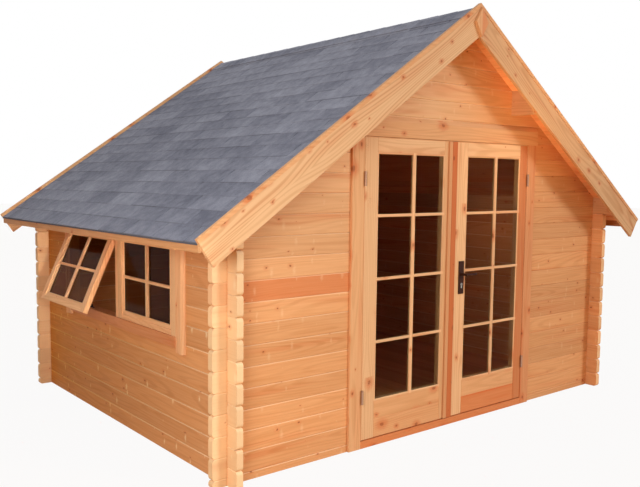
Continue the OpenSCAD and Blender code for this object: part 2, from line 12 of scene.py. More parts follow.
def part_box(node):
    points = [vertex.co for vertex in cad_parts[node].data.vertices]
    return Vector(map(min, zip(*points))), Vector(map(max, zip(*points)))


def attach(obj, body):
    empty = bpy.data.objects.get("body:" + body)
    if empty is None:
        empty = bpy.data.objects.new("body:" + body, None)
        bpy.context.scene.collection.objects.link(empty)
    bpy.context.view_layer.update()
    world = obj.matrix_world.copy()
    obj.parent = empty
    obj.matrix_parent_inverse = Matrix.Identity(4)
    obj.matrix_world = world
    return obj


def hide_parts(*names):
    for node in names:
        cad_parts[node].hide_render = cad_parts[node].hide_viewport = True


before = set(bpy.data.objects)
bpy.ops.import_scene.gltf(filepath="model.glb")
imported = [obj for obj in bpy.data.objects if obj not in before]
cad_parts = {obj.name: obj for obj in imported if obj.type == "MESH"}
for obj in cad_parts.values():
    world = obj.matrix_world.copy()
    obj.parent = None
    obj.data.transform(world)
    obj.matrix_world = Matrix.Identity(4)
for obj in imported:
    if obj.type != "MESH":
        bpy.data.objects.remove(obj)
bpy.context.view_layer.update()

bl_info = {
    "name": "Log Cabin Looks",
    "version": (1, 0, 0),
    "blender": (4, 5, 0),
    "location": "View3D > Sidebar > Log Cabin",
    "description": "Shingles, boards, joinery, fittings and finishes of a log cabin",
    "category": "Object",
}

MM = 0.001
# Working gap that the solids keep between pieces
SEAT = 0.3 * MM
# Margin that trimmed shingles keep from the edge of the solid under them
EDGE = 1 * MM
# Distance within which an edge or face counts as lying on a plane: on boards, and on small fittings
CLOSE = 1 * MM
NEAR = 0.1 * MM
X, Y, Z = Vector((1, 0, 0)), Vector((0, 1, 0)), Vector((0, 0, 1))
# Heights of the level bars in the door's leaves, and place of the upright bar across a pane
BAR_LEVELS = (0.634, 1.012, 1.388)
BAR_SHARE = 0.53
# Angle at which the left window sash stands open, and how far its hinge lifts it
SASH_ANGLE = math.radians(24)
SASH_LIFT = 1.7 * MM


def srgb(code):
    """Turns a hex colour into linear values."""
    parts = [int(code[i : i + 2], 16) / 255 for i in (1, 3, 5)]
    return [c / 12.92 if c <= 0.04045 else ((c + 0.055) / 1.055) ** 2.4 for c in parts]


def length(name, text, size):
    """A length that a user may change, given in millimetres."""
    return FloatProperty(name=name, description=text, default=size * MM, min=0, unit="LENGTH", precision=4)


def amount(name, text, default):
    """A strength, power or other amount that a user may change."""
    return FloatProperty(name=name, description=text, default=default, min=0)


def colour(name, text, code):
    """A colour that a user may change, given as sRGB hex."""
    return FloatVectorProperty(
        name=name, description=text, default=srgb(code), min=0, max=1, size=3, subtype="COLOR"
    )


class CabinSizes(bpy.types.PropertyGroup):
    """Sizes of the cabin's visible boards, shingles and bars."""

    course: length("Log course", "Height of one log", 114)
    gable_foot: length("Gable foot", "Height of the first joint in the gable walls", 42)
    side_foot: length("Side foot", "Height of the first joint in the side walls", 99)
    pitch: FloatProperty(
        name="Roof pitch", description="Slope of the roof", default=math.radians(34.3), subtype="ANGLE"
    )
    tab_width: length("Tab width", "Width of one shingle tab", 333)
    exposure: length("Exposure", "Height of a shingle course that shows", 125)
    tab_thick: length("Tab thickness", "Thickness of a shingle", 2.6)
    tab_gap: length("Tab gap", "Slot between two shingle tabs", 7)
    roof_board: length("Roof board", "Width of a roof board", 95)
    floor_board: length("Floor board", "Width of a floor board", 92)
    bar: length("Upright bar", "Width of an upright glazing bar", 28)
    level_bar: length("Level bar", "Height of a level glazing bar", 18)
    bead: length("Bead", "Width of a glass bead", 10)
    ease: length("Eased edge", "Bevel on planed edges", 1.6)
    ring: length("Growth ring", "Spacing of the drawn growth rings", 14)
    knot_step: length("Knot spacing", "Mean distance between knots along a board", 160)


class CabinColours(bpy.types.PropertyGroup):
    """Colours of the cabin's finishes."""

    pale: colour("Pale pine", "Early wood", "#F0B37C")
    warm: colour("Warm pine", "Darker fibres", "#DE965A")
    heart: colour("Heartwood", "Reddish heart of a board", "#D97238")
    # Fresh pine is also the colour of painted light on log tips, high on the front wall, and on boards made
    # paler.
    fresh_and_lit: colour("Fresh pine", "Newly cut ends and pale boards", "#FFD9A8")
    # Bevel is also the colour of the painted highlight on the bevels at log joints.
    bevel: colour("Bevel", "Bevelled edges and pale flecks", "#FFDFB2")
    late: colour("Late wood", "Lines of the growth rings", "#C98447")
    knot: colour("Knot", "Core of a knot", "#8E451F")
    slate_light: colour("Light slate", "Palest shingle tab", "#AFB1C0")
    slate_dark: colour("Dark slate", "Darkest shingle tab", "#747685")
    # Bitumen is also the colour of painted shadow along the shingle courses.
    bitumen: colour("Bitumen", "Underlay and shingle edges", "#5C5D66")
    bronze: colour("Dark bronze", "Handle plate and lever", "#3A1D12")
    iron: colour("Black iron", "Casement stay", "#161514")
    zinc: colour("Zinc", "Lock cylinder", "#B4B0A8")
    dull_zinc: colour("Dull zinc", "Hinges", "#B08A70")
    glass: colour("Door glass", "Tint of the door's panes", "#D9D5C9")
    # The window's tint is darker than the door's, as painted shade for the dark room behind it; the glass is
    # the same.
    window_glass: colour("Window glass", "Tint of the window's panes", "#907A60")
    floor: colour("Studio floor", "Floor under the cabin", "#C99A66")


class CabinStage(bpy.types.PropertyGroup):
    """Light and camera."""

    sun: amount("Key light", "Strength of the key light", 1.25)
    front: amount("Front light", "Power of the warm front light in watts", 19)
    fill: amount("Fill light", "Power of the fill light in watts", 54)
    bounce: amount("Bounce light", "Power of the warm light under the roof in watts", 1.95)
    corner: amount("Corner light", "Power of the light on the far corner in watts", 1.0)
    room: amount("Room light", "Power of the light inside the room in watts", 0.6)
    sky_low: amount("Side light", "Strength of the light at eye level", 0.07)
    sky_high: amount("Top light", "Strength of the light overhead", 0.75)
    lens: FloatProperty(name="Lens", description="Focal length in millimetres", default=42.442, min=1)
    seed: IntProperty(name="Seed", description="Start of the random draws", default=7)


def knit(tree, kind, *values, named=None, out=0, **settings):
    """Adds one node, sets its options, fills or links its inputs and returns one of its outputs."""
    made = tree.nodes.new("ShaderNode" + kind)
    for option, value in settings.items():
        setattr(made, option, value)
    for key, value in [*enumerate(values), *(named or {}).items()]:
        if isinstance(value, bpy.types.NodeSocket):
            tree.links.new(value, made.inputs[key])
        elif value is not None:
            made.inputs[key].default_value = value
    return made.outputs[out] if made.outputs else made


class Weave:
    """The emptied node tree of a material or world, with short names for the nodes used most."""

    def __init__(self, owner):
        self.owner = owner
        owner.use_nodes = True
        self.tree = owner.node_tree
        self.tree.nodes.clear()

    def node(self, kind, *values, **more):
        """Any node."""
        return knit(self.tree, kind, *values, **more)

    def math(self, operation, *values, clamp=False):
        """A sum with numbers, which clamp keeps between 0 and 1."""
        return self.node("Math", *values, operation=operation, use_clamp=clamp)

    add, less = partialmethod(math, "ADD"), partialmethod(math, "SUBTRACT")
    times, mad = partialmethod(math, "MULTIPLY"), partialmethod(math, "MULTIPLY_ADD")
    larger = partialmethod(math, "MAXIMUM")

    def ramp(self, value, low, high, start, end, smooth=False):
        """A number taken from one span to another."""
        kind = "SMOOTHSTEP" if smooth else "LINEAR"
        return self.node("MapRange", value, low, high, start, end, interpolation_type=kind)

    def vector(self, operation, *values, **more):
        """A sum with vectors."""
        return self.node("VectorMath", *values, operation=operation, **more)

    def scaled(self, shade, factor):
        """A colour made lighter or darker."""
        return self.vector("SCALE", shade, named={"Scale": factor})

    def parts(self, vector):
        """The three numbers of a vector."""
        return self.node("SeparateXYZ", vector).node.outputs[:]

    def blend(self, share, *colours):
        """A mix of two colours."""
        first, second = [c if isinstance(c, bpy.types.NodeSocket) else (*c, 1) for c in colours]
        return self.node("Mix", share, named={6: first, 7: second}, out=2, data_type="RGBA")

    def noise(self, place, scale, detail, rough=0.5, out=0):
        """Soft noise."""
        named = {"Scale": scale, "Detail": detail, "Roughness": rough}
        return self.node("TexNoise", place, named=named, out=out)

    def bump(self, height, strength, distance):
        """Fine relief."""
        return self.node("Bump", named={"Strength": strength, "Distance": distance, "Height": height})

    def close(self, **sockets):
        """Puts a Principled shader with these sockets on the output and returns the material."""
        named = {key.replace("_", " "): value for key, value in sockets.items()}
        self.node("OutputMaterial", self.node("BsdfPrincipled", named=named))
        return self.owner


def new_finish(name):
    """An empty material, and the object coordinates in it."""
    weave = Weave(bpy.data.materials.new(name))
    return weave, weave.node("TexCoord", out="Object")


def pine(
    name, grain, across, seed, course=0.0, foot=0.0, heart=0.0, fresh_and_lit=0.0, lines=0.3, knots=0.45,
    knot_size=7.5 * MM, flecks=0.0, ends=None, split=-9.0, red_row=None, red_side=0.0, tan=0.0,
    pale_top=0.0, dim=1.0, right_knots=0.0,
):
    """Planed pine: early wood is pale and late wood warm, so boards show long soft streaks with
    small reddish knots and pale flecks; one board differs from the next, cut ends are paler and plain,
    and the bevels along a log joint carry a painted highlight. Growth rings are drawn about twice as wide as
    real ones, and fibres 9 mm wide, so that they show in the picture.

    Ends says where a log's free ends start and how pale the two are; this paleness is partly painted light,
    palest at the corners that the light catches. Below the split row the right half
    of a wall has logs of its own, with more knots by right_knots. Red_row is a red log on the left,
    red_side reddens what lies past the middle, tan darkens and yellows a wall towards its far end as
    painted shade, and the top setting paints light on a wall high up on the left, as paler wood. The
    freshness setting pales whole boards and dim scales their brightness, both in places as painted light."""
    sizes, tint = bpy.context.scene.cabin_sizes, bpy.context.scene.cabin_colours
    w, coords = new_finish(name)
    turn = {"Rotation": Matrix((grain, across.cross(grain), across)).to_euler()}
    place = w.node("Mapping", coords, named=turn)
    along, deep, high = w.parts(place)
    # The board that a point lies in, and its height from the board's middle
    mark = w.node("Attribute", out="Fac", attribute_name="board")
    index = w.mad(mark, 37.7, seed)
    if course:
        rows = w.math("DIVIDE", w.less(high, foot), course)
        row = w.math("FLOOR", rows)
        half = w.times(w.math("GREATER_THAN", along, 0.0), w.math("LESS_THAN", row, split))
        index = w.add(index, w.mad(half, 51.0, row))
        part = w.less(rows, row)
        high = w.mad(part, course, -course / 2)
    chance = w.node("TexWhiteNoise", named={"W": index}, out="Color", noise_dimensions="1D")
    one, two, three = w.parts(chance)
    slide = w.times(one, 13.0)
    beyond = w.math("GREATER_THAN", high, 0.0)
    level = high
    if not course:
        level = w.add(high, two)
        high = w.less(w.math("PINGPONG", level, 0.12), 0.06)
    facing = w.node("Mapping", coords.node.outputs["Normal"], named=turn, vector_type="VECTOR")
    cut = w.ramp(w.math("ABSOLUTE", w.parts(facing)[0]), 0.8, 0.95, 0.0, 1.0)
    faces = w.less(1.0, cut)
    # Knots and pale flecks lie at a random place in cells along a board, in about half of them
    spots = []
    for step, tall, stretch, shift in ((sizes.knot_step, 0.1, 0.7, 0.0), (0.15, 0.07, 2.5, 0.37)):
        cell = w.node("CombineXYZ", w.mad(along, 1 / step, slide), w.mad(level, 1 / tall, index))
        cell = w.vector("ADD", cell, (shift, shift, 0))
        warp = w.noise(cell, 5.0, 2.0, out="Color")
        cell = w.vector("MULTIPLY_ADD", warp, (0.12, 0.12, 0), cell)
        random_cells = {"Scale": 1.0, "Randomness": 0.9}
        spot = w.node("TexVoronoi", cell, named=random_cells, out="Position", voronoi_dimensions="2D")
        offset = w.vector("MULTIPLY", w.vector("SUBTRACT", cell, spot), (stretch * step, tall, 0))
        reach = w.vector("LENGTH", offset, out="Value")
        spots.append((reach, w.parts(spot.node.outputs["Color"])[0]))
    (reach, luck), (fleck_reach, fleck_luck) = spots
    if right_knots:
        luck = w.mad(half, right_knots, luck, clamp=True)
    # Cells without a knot or fleck get one too small to see
    least = 0.5 * MM
    size = w.times(w.ramp(luck, 1 - knots, 1.0, least, knot_size), faces)
    core = w.times(size, 0.4)
    knot = w.ramp(reach, core, size, 1.0, 0.0, smooth=True)
    halo = w.ramp(reach, core, w.times(size, 3.4), 1.0, 0.0, smooth=True)
    fleck_and_bevel_highlight = w.ramp(fleck_luck, 0.5, 1.0, least, 42 * MM)
    fleck_and_bevel_highlight = w.times(w.ramp(fleck_reach, 0.0, fleck_and_bevel_highlight, flecks, 0.0, smooth=True), faces)
    # Growth rings round a pith behind the face, wandering along the board and flowing round knots
    drift = w.node("CombineXYZ", w.mad(along, 0.9, slide), w.times(high, 6.0), index)
    lift = w.ramp(w.noise(drift, 1.0, 1.0), 0.25, 0.75, -35 * MM, 35 * MM)
    ring_y = w.add(w.math("PINGPONG", deep, 80 * MM), w.mad(three, 50 * MM, 12 * MM))
    ring_z = w.less(high, w.mad(two, 120 * MM, -60 * MM))
    radius = w.vector("LENGTH", w.node("CombineXYZ", 0.0, ring_y, ring_z), out="Value")
    radius = w.mad(halo, 6 * MM, w.add(radius, lift))
    wave = w.math("SINE", w.times(radius, math.tau / sizes.ring))
    late = w.ramp(wave, -0.2, 1.0, 0.0, 1.0, smooth=True)
    # Fibres, and broad reddish streaks of heartwood
    thread = w.node("CombineXYZ", w.mad(along, 1.6, slide))
    fibre = w.noise(w.vector("MULTIPLY_ADD", place, (1.6, 110.0, 110.0), thread), 1.0, 3.0, 0.6)
    stain = w.noise(w.vector("MULTIPLY_ADD", place, (0.9, 9.0, 15.0), chance), 1.0, 2.0)
    # Colour of the board: fibres, pale new wood and cut ends, painted light on log tips and high up, rings,
    # heartwood, painted highlights on joint bevels, flecks and knots
    wood = w.blend(w.ramp(fibre, 0.2, 0.8, 0.1, 0.8), tint.pale, tint.warm)
    bare_and_lit = w.ramp(cut, 0.0, 1.0, fresh_and_lit, max(fresh_and_lit, 0.5))
    # Painted light: logs high up on the left of the wall are made paler, fading out just right of the
    # middle.
    if pale_top:
        lit_top = w.ramp(w.parts(coords)[2], 0.7, 1.8, 0.0, pale_top)
        bare_and_lit = w.larger(bare_and_lit, w.times(lit_top, w.ramp(along, -0.2, 0.4, 1.0, 0.0)))
    # The free ends of the logs are paler, with a share given for each end: partly painted light, palest at
    # the corners that the light catches.
    if ends:
        start, low, top = ends
        near = w.ramp(along, -start - 0.01, -start + 0.01, low, 0.0)
        far = w.ramp(along, start - 0.01, start + 0.01, 0.0, top)
        pale_and_lit_tips = w.add(near, far)
        bare_and_lit = w.larger(bare_and_lit, pale_and_lit_tips)
        inner = w.less(1.0, w.times(pale_and_lit_tips, 0.7), clamp=True)
    wood = w.blend(bare_and_lit, wood, tint.fresh_and_lit)
    quiet = w.ramp(stain, 0.3, 0.7, 0.2 * lines, 1.4 * lines)
    quiet = w.times(quiet, w.ramp(bare_and_lit, fresh_and_lit, 1.0, 1.0, 0.0))
    wood = w.blend(w.times(late, quiet), wood, tint.late)
    red = w.ramp(stain, 0.5, 0.8, 0.0, 0.45, smooth=True)
    red = w.add(w.add(red, w.ramp(two, 0.85, 0.98, 0.0, 0.3)), heart, clamp=True)
    if red_side:
        red = w.mad(beyond, red_side, red, clamp=True)
    if red_row is not None:
        same = w.math("COMPARE", row, red_row, 0.1)
        red = w.mad(same, w.less(0.62, half, clamp=True), red, clamp=True)
    if ends:
        red = w.times(red, inner)
    wood = w.blend(red, wood, tint.heart)
    # Painted highlight: a pale line on the bevel above each log joint and a fainter one on the bevel below,
    # standing in for light catching the bevels; flecks makes it stronger, and it is weak on the right half
    # of the front wall, which lies in shade.
    if ends:
        head = w.ramp(part, 0.955, 0.965, 0.0, 0.33 + 0.37 * flecks)
        under = w.ramp(part, 0.035, 0.045, 0.2, 0.0)
        joint = w.times(w.add(head, under), w.ramp(half, 0.0, 1.0, 1.0, 0.15))
        fleck_and_bevel_highlight = w.larger(fleck_and_bevel_highlight, joint)
    wood = w.blend(fleck_and_bevel_highlight, wood, tint.bevel)
    wood = w.blend(w.times(halo, 0.35 if course else 0.65), wood, tint.heart)
    wood = w.blend(w.times(knot, 0.8 if course else 0.62), wood, tint.knot)
    # Painted shade: the wall turns darker and yellower towards its far end, where less light reaches it,
    # though less so at the log tips.
    if tan:
        painted_far_shade = w.times(w.ramp(along, -1.3, 0.9, 0.0, tan), inner)
        wood = w.blend(painted_far_shade, wood, w.vector("MULTIPLY", wood, (0.8, 0.6, 0.23)))
    shade = w.ramp(three, 0.0, 1.0, 0.88 * dim, 1.06 * dim)
    if red_row is not None:
        shade = w.larger(shade, same)
    return w.close(
        Base_Color=w.scaled(wood, shade),
        Roughness=w.ramp(fibre, 0.2, 0.8, 0.5, 0.72),
        Normal=w.bump(w.mad(late, 0.5, fibre), 0.3, 1 * MM),
        Specular_IOR_Level=0.3,
    )


def shingle(name, up, foot):
    """Bitumen shingle with mineral grit: matt grey-blue, each tab a little lighter or darker than the
    next, dark where a course ends, partly as painted shadow, and lighter up the slope as painted light. The
    grit is drawn 4 mm wide, coarser than real, so that it shows."""
    sizes, tint = bpy.context.scene.cabin_sizes, bpy.context.scene.cabin_colours
    w, coords = new_finish(name)
    slope = w.less(w.vector("DOT_PRODUCT", coords, up, out="Value"), foot)
    rows = w.math("DIVIDE", slope, sizes.exposure)
    row = w.math("FLOOR", rows)
    part = w.less(rows, row)
    odd = w.math("FLOORED_MODULO", row, 2.0)
    columns = w.mad(odd, 0.5, w.math("DIVIDE", w.parts(coords)[1], sizes.tab_width))
    tab = w.node("CombineXYZ", row, w.math("FLOOR", columns))
    chance = w.node("TexWhiteNoise", tab, noise_dimensions="2D")
    tone = w.mad(w.noise(coords, 2.6, 3.0), 0.9, -0.72)
    tone = w.mad(w.noise(coords, 19.0, 4.0, 0.65), 1.1, tone)
    tone = w.mad(chance, 0.36, tone)
    tone = w.less(tone, w.ramp(part, 0.25, 1.0, 0.0, 0.12), clamp=True)
    base = w.blend(tone, tint.slate_dark, tint.slate_light)
    grit = w.noise(coords, 240.0, 2.0, 0.7)
    # Painted light and shade: the lower courses are darker and the upper ones lighter, as the light falls on
    # the roof
    painted_slope_light = w.ramp(slope, 0.0, 2.4, 0.84, 1.1)
    base = w.scaled(base, w.times(w.ramp(grit, 0.25, 0.75, 0.8, 1.2), painted_slope_light))
    # A dark band just above each course line, stronger on some tabs: partly the tab's dark bitumen edge,
    # partly painted shadow along the course.
    strength = w.ramp(w.parts(chance.node.outputs["Color"])[1], 0.3, 1.0, 0.0, 0.65)
    butt = w.ramp(part, 0.02, 0.07, strength, 0.0, smooth=True)
    base = w.blend(butt, base, tint.bitumen)
    relief = w.bump(grit, 0.5, 1.5 * MM)
    return w.close(Base_Color=base, Roughness=0.92, Normal=relief, Specular_IOR_Level=0.25)


def bitumen_felt(name, base):
    """Underlay felt: dark grey, matt and grainy. It shows only in the slots between tabs."""
    w, coords = new_finish(name)
    grain = w.noise(coords, 160.0, 3.0)
    felt = w.scaled(base, w.ramp(grain, 0.2, 0.8, 0.75, 1.25))
    return w.close(Base_Color=felt, Roughness=0.95, Specular_IOR_Level=0.2)


def coated_metal(name, base, rough):
    """Powder-coated fitting: satin, with the faint orange peel and dust of a handled coating."""
    w, coords = new_finish(name)
    wear = w.noise(coords, 45.0, 3.0)
    paint = w.scaled(base, w.ramp(wear, 0.3, 0.8, 0.85, 1.35))
    gloss = w.ramp(wear, 0.3, 0.7, rough - 0.06, rough + 0.1)
    peel = w.bump(w.noise(coords, 600.0, 2.0), 0.15, 0.4 * MM)
    return w.close(Base_Color=paint, Roughness=gloss, Normal=peel, Specular_IOR_Level=0.1)


def zinc_plate(name, base, rough):
    """Zinc-plated steel: grey metal with a clouded, slightly dull film."""
    w, coords = new_finish(name)
    cloud = w.noise(coords, 120.0, 4.0)
    film = w.scaled(base, w.ramp(cloud, 0.25, 0.75, 0.8, 1.12))
    gloss = w.ramp(cloud, 0.3, 0.7, rough, rough + 0.18)
    return w.close(Base_Color=film, Roughness=gloss, Metallic=1.0)


def pane_glass(name, base):
    """Float glass: clear and smooth, with the dark room behind it. The low index of refraction keeps its
    mirror weak, so that the white studio doesn't grey the panes."""
    w = Weave(bpy.data.materials.new(name))
    return w.close(Base_Color=(*base, 1), Roughness=0.0, IOR=1.06, Transmission_Weight=1.0)


def finish(name):
    """A finish by its name, made on first use."""
    found = bpy.data.materials.get(name)
    if found:
        return found
    sizes, tint = bpy.context.scene.cabin_sizes, bpy.context.scene.cabin_colours
    up = Vector((math.cos(sizes.pitch), 0, math.sin(sizes.pitch)))
    over = Vector((-up.z, 0, up.x))
    up_r, over_r = Vector((-up.x, 0, up.z)), Vector((up.z, 0, up.x))
    low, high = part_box("left_roof_shingles")
    foot = low.x * up.x + (high.z + low.x * math.tan(sizes.pitch)) * up.z
    logs = dict(course=sizes.course, foot=sizes.gable_foot)
    side = dict(course=sizes.course, foot=sizes.side_foot)
    # The front wall's left tips are painted far paler than its right ones, and its upper left is lit:
    # painted light.
    front = dict(logs, ends=(1.71, 0.85, 0.2), split=17.0, red_row=8.0, flecks=0.25)
    front.update(knots=0.4, knot_size=6.5 * MM, pale_top=0.42, right_knots=0.15)
    # The roof boards are brightened by dim: painted light on the underside seen under the eaves.
    deck = dict(course=sizes.roof_board, foot=foot, heart=0.05, dim=1.22)
    barge = dict(lines=0.45, knots=0.6, knot_size=9 * MM)
    big = dict(knots=0.45, knot_size=18 * MM)
    # Each pine: its grain, the way its boards are stacked, a seed and how it differs
    woods = {
        "front_log_pine": (X, Z, 1.0, front),
        "back_log_pine": (X, Z, 3.0, dict(logs, ends=(1.71, 0.8, 0.4), flecks=0.2)),
        # The left wall darkens towards the back by tan as painted shade, and flecks strengthens the painted
        # highlights on its joints.
        "left_log_pine": (Y, Z, 4.0, dict(side, ends=(1.285, 0.85, 0.7), heart=-0.3, flecks=1.0, tan=1.0)),
        # The right wall is brightened by dim as painted light, and its front tips get little paleness, as
        # they lie in shade.
        "right_log_pine": (Y, Z, 6.0, dict(side, ends=(1.285, 0.15, 0.4), flecks=0.3, dim=1.15)),
        "beam_pine": (Y, Z, 9.0, dict(fresh_and_lit=0.25)),
        # The left and right bargeboards are lit and shaded copies of one pine: painted light makes the left
        # ones paler, painted shade the right ones darker.
        "left_barge_pine": (up, over, 12.0, dict(barge, fresh_and_lit=0.55)),
        "right_barge_pine": (up_r, over_r, 15.0, dict(barge, fresh_and_lit=0.4, dim=0.78)),
        "left_deck_pine": (Y, up, 18.0, deck),
        "right_deck_pine": (Y, up_r, 21.0, deck),
        "upright_pine": (Z, X, 24.0, dict(big, fresh_and_lit=0.25, red_side=0.42)),
        "leaf_pine": (Z, X, 25.0, dict(big, fresh_and_lit=0.5)),
        "top_rail_pine": (X, Z, 29.0, dict(fresh_and_lit=0.5, knots=0.3, knot_size=14 * MM)),
        "upright_side_pine": (Z, Y, 27.0, dict(fresh_and_lit=0.5, knots=0.2)),
        "rail_pine": (X, Z, 30.0, dict(big, fresh_and_lit=0.15)),
        "side_rail_pine": (Y, Z, 33.0, dict(fresh_and_lit=0.4, knots=0.2)),
        "red_upright_pine": (Z, X, 36.0, dict(heart=0.6, knots=0.4, knot_size=18 * MM)),
        "strip_pine": (Z, X, 37.0, dict(heart=0.9, lines=0.6, knots=0.6, knot_size=20 * MM)),
        "red_rail_pine": (X, Z, 39.0, dict(heart=0.62, knots=0.4, knot_size=16 * MM)),
        "red_side_pine": (Y, Z, 42.0, dict(heart=0.35)),
        "fascia_pine": (Y, Z, 48.0, dict(dim=0.68)),
        "floor_board_pine": (Y, X, 45.0, dict(course=sizes.floor_board, heart=0.2)),
    }
    if name in woods:
        grain, across, seed, more = woods[name]
        return pine(name, grain, across, seed, **more)
    others = {
        "left_shingle": (shingle, up, foot),
        "right_shingle": (shingle, up_r, foot),
        "bitumen_felt": (bitumen_felt, tint.bitumen),
        "dark_bronze": (coated_metal, tint.bronze, 0.5),
        "black_iron": (coated_metal, tint.iron, 0.5),
        "bright_zinc": (zinc_plate, tint.zinc, 0.28),
        "dull_zinc": (zinc_plate, tint.dull_zinc, 0.45),
        "float_glass": (pane_glass, tint.glass),
        # Painted shade: the window's panes get a darker tint for the room behind them.
        "window_float_glass": (pane_glass, tint.window_glass),
    }
    maker, *values = others[name]
    return maker(name, *values)


def dress(name, *nodes):
    """Gives solids of the frame a finish."""
    for node in nodes:
        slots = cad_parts[node].data.materials
        slots.clear()
        slots.append(finish(name))


def coat(name, *parts):
    """Gives new meshes a finish."""
    for part in parts:
        part.data.materials.append(finish(name))


def deselect():
    """Nothing selected, so that the next operator acts on the new mesh alone."""
    bpy.ops.object.select_all(action="DESELECT")


def select_only(*parts):
    """Only these meshes selected, the first of them active."""
    deselect()
    for part in parts:
        part.select_set(True)
    bpy.context.view_layer.objects.active = parts[0]


def settle(obj):
    """Applies a mesh's place and turn, with only that mesh selected."""
    select_only(obj)
    bpy.ops.object.transform_apply(location=True, rotation=True, scale=True)
    return obj


def join(parts):
    """Joins parts to one mesh."""
    select_only(*parts)
    if len(parts) > 1:
        bpy.ops.object.join()
    return bpy.context.object


def pick(obj, kind, test):
    """Opens a mesh for editing with the edges or faces selected whose middle passes a test."""
    bpy.context.view_layer.objects.active = obj
    bpy.ops.object.mode_set(mode="EDIT")
    bpy.ops.mesh.select_mode(type=kind)
    bpy.ops.mesh.select_all(action="DESELECT")
    bpy.ops.object.mode_set(mode="OBJECT")
    corners = obj.data.vertices
    for part in obj.data.edges if kind == "EDGE" else obj.data.polygons:
        middle = sum((corners[i].co for i in part.vertices), Vector()) / len(part.vertices)
        part.select = bool(test(middle))
    bpy.ops.object.mode_set(mode="EDIT")


def close_edit():
    """Back from editing a mesh."""
    bpy.ops.object.mode_set(mode="OBJECT")


def everywhere(middle):
    """A test that every edge or face passes."""
    return True


def grained(obj, wood, value):
    """Gives a board its pine, and a mark that makes its grain and shade differ from its neighbours'."""
    coat(wood, obj)
    mark = obj.data.attributes.new("board", "FLOAT", "POINT")
    mark.data.foreach_set("value", [value] * len(obj.data.vertices))
    return obj


def block(lo, hi):
    """Adds a plain block between two corners as the start of a piece."""
    deselect()
    lo, hi = Vector(lo), Vector(hi)
    bpy.ops.mesh.primitive_cube_add(size=1, location=(lo + hi) / 2)
    made = bpy.context.object
    made.scale = hi - lo
    return settle(made)


def rod(place, radius, depth, sides, turn=(math.pi / 2, 0, 0)):
    """Adds a plain round bar, along Y unless turned, as the start of a piece."""
    deselect()
    bpy.ops.mesh.primitive_cylinder_add(
        vertices=sides, radius=radius, depth=depth, location=place, rotation=turn
    )
    return settle(bpy.context.object)


def chamfer(obj, test, offset, segments=2):
    """Rounds the edges of a mesh that pass a test."""
    pick(obj, "EDGE", test)
    bpy.ops.mesh.bevel(offset=offset, segments=segments, affect="EDGES")
    close_edit()


def nudge(obj, kind, test, move):
    """Moves the edges or faces of a mesh that pass a test."""
    pick(obj, kind, test)
    bpy.ops.transform.translate(value=move)
    close_edit()


def cut_off(obj, point, direction):
    """Saws a mesh off beyond a plane and closes the cut."""
    pick(obj, "FACE", everywhere)
    bpy.ops.mesh.bisect(plane_co=point, plane_no=direction, use_fill=True, clear_outer=True)
    close_edit()


def board(lo, hi, wood, value, ease=None):
    """A planed board between two corners with eased edges."""
    made = block(lo, hi)
    chamfer(made, everywhere, bpy.context.scene.cabin_sizes.ease if ease is None else ease, 1)
    return grained(made, wood, value)


def repeat(obj, count, step):
    """Repeats a mesh in a row."""
    bpy.context.view_layer.objects.active = obj
    row = obj.modifiers.new("row", "ARRAY")
    row.count = count
    row.use_relative_offset = False
    row.use_constant_offset = True
    row.constant_offset_displace = step
    bpy.ops.object.modifier_apply(modifier=row.name)


def copy_of(obj, move):
    """A copy with its own mesh, moved."""
    select_only(obj)
    bpy.ops.object.duplicate()
    made = bpy.context.object
    made.location = move
    return settle(made)


def gather(parts, name, body, slot, *nodes):
    """Joins parts to one named piece, rides it on a body and hides the solids that it stands for."""
    made = join(parts)
    made.name = made.data.name = name
    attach(made, body)
    if nodes:
        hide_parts(*nodes)


class CABIN_OT_walls(bpy.types.Operator):
    """Gives the logs, plates and purlins their pine"""

    bl_idname = "cabin.walls"
    bl_label = "Log Walls"

    def execute(self, context):
        dress("front_log_pine", "front_wall_left_logs", "front_wall_right_logs", "front_gable_logs")
        dress("back_log_pine", "back_wall_logs", "back_gable_logs")
        for part in ("lower_logs", "front_logs", "back_logs", "head_log"):
            dress("left_log_pine", "left_wall_" + part)
        dress("right_log_pine", "right_wall_logs")
        dress("beam_pine", "wall_plates", "side_purlins", "ridge_purlin")
        dress("fascia_pine", "eave_fascias")
        return {"FINISHED"}


class CABIN_OT_bargeboards(bpy.types.Operator):
    """Gives the bargeboards, their capping strips and the apex plates their pine"""

    bl_idname = "cabin.bargeboards"
    bl_label = "Bargeboards"

    def execute(self, context):
        for word in ("left", "right"):
            dress(word + "_barge_pine", f"front_{word}_bargeboard", f"rear_{word}_bargeboard")
        dress("rail_pine", "capping_strips")
        dress("upright_pine", "apex_plates")
        return {"FINISHED"}


def lay_on_roof(obj, side):
    """Turns a mesh made flat, X up the slope, on to the left or right roof."""
    sizes = bpy.context.scene.cabin_sizes
    low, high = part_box("left_roof_shingles")
    obj.rotation_euler = (0, -sizes.pitch, math.pi if side > 0 else 0)
    obj.location = (low.x if side < 0 else -low.x, 0, high.z + low.x * math.tan(sizes.pitch))
    settle(obj)


